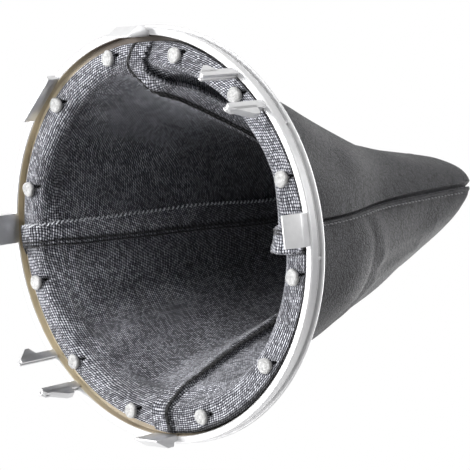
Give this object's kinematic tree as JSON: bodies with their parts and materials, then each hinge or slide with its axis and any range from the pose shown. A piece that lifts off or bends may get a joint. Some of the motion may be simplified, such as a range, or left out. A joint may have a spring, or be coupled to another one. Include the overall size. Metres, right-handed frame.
{
  "type": "gear_lever_gaiter",
  "caption": "Round plated snap-in frame with a stitched leatherette gear lever cover, its hem riveted under an inner ledge, narrowing to an open end for the lever",
  "frame": {"origin": "centre of the frame ring in the plane of its seat, the flat underside that meets the console", "axes": "+Z toward the narrow end of the cover, +X toward the front of the car, +Y toward the left side of the car"},
  "size_m": [0.1156, 0.1156, 0.1345],
  "materials": {
    "plated_ring": "bright chrome plate over moulded plastic",
    "white_plastic": "unplated white plastic, melted over by heat",
    "leatherette": "fine-grained charcoal leatherette on a knitted backing"
  },
  "bodies": {
    "root": {"frame_ring": "plated_ring", "panel_front_left": "leatherette", "panel_rear_left": "leatherette", "panel_rear_right": "leatherette", "panel_front_right": "leatherette", "rivet_01": "white_plastic", "rivet_02": "white_plastic", "rivet_03": "white_plastic", "rivet_04": "white_plastic", "rivet_05": "white_plastic", "rivet_06": "white_plastic", "rivet_07": "white_plastic", "rivet_08": "white_plastic", "rivet_09": "white_plastic", "rivet_10": "white_plastic", "rivet_11": "white_plastic", "rivet_12": "white_plastic"}
  },
  "joints": []
}
